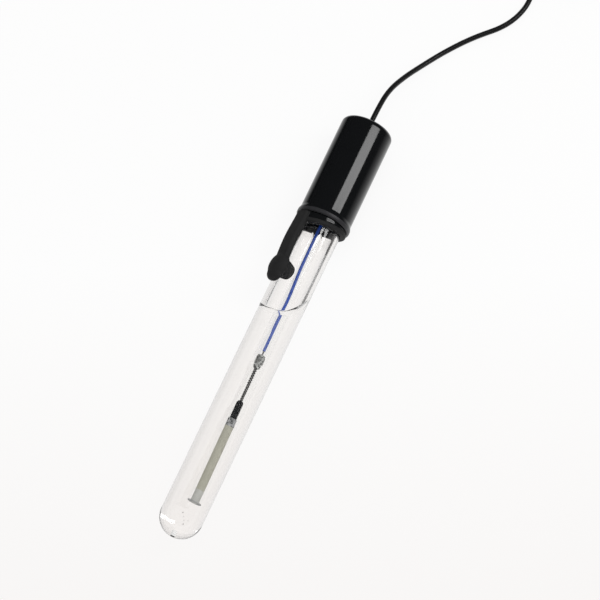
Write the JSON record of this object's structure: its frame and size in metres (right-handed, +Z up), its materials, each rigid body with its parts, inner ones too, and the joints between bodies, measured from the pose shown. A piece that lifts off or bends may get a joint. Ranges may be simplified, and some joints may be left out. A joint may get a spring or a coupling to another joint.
{
  "type": "reference electrode",
  "caption": "Glass-bodied refillable reference electrode with a black cap, a rubber filler sleeve and stopper, a visible inner element and a thin black lead to a pin plug.",
  "frame": {"origin": "on the surface that the electrode lies on, under the middle of its length", "axes": "+Y runs under the electrode from the glass tip towards the cap, +Z is up, and the stopper's side leans towards -X"},
  "size_m": [0.0512, 0.2299, 0.0159],
  "materials": {
    "clear_glass": "clear laboratory glass",
    "clear_liquid": "clear salt solution",
    "porous_ceramic": "wet porous ceramic",
    "fibre": "pale packed fibre",
    "paste": "khaki salt paste",
    "dark_paste": "dark granular paste",
    "black_plastic": "gloss black moulded plastic",
    "solder": "dull grey solder",
    "grey_wire": "stranded wire",
    "copper": "bare copper",
    "blue_plastic": "blue wire insulation",
    "dark_rubber": "dark sealing rubber",
    "black_rubber": "soft matt black rubber",
    "resin": "dark potting resin",
    "cable_black": "soft black cable jacket",
    "tie_black": "flat black tie",
    "plated_pin": "nickel-plated contact pin"
  },
  "bodies": {
    "electrode": {"glass_body": "clear_glass", "ceramic_junction": "porous_ceramic", "electrolyte": "clear_liquid", "inner_tube": "clear_glass", "fibre_plug": "fibre", "element_rod": "paste", "contact_band": "dark_paste", "seal_sleeve": "black_plastic", "contact_strand": "grey_wire", "solder_joint": "solder", "lead_conductor": "copper", "lead_insulation": "blue_plastic", "sealing_bung": "dark_rubber", "cap_potting": "resin", "cap": "black_plastic", "cable_grommet": "black_rubber", "cable_retainer": "plated_pin", "splice_ferrule": "copper", "splice_sleeve": "black_plastic", "cable_core": "copper", "lead_entry": "cable_black", "filler_collar": "black_rubber", "lead_cable": "cable_black", "lead_coil": "cable_black", "coil_ties": "tie_black", "lead_tail": "cable_black", "plug_boot": "black_rubber", "plug_handle": "black_plastic", "plug_pin": "plated_pin"},
    "stopper": {"filler_stopper": "black_rubber"}
  },
  "joints": [
    {"name": "stopper_lift", "type": "hinge", "parent": "electrode", "child": "stopper", "pos_m": [-0.00512, 0.02896, 0.01252], "axis": [-0.682, 0.0145, -0.7312], "range_deg": [0, 85], "stiffness_Nm_per_rad": 0.0004}
  ]
}
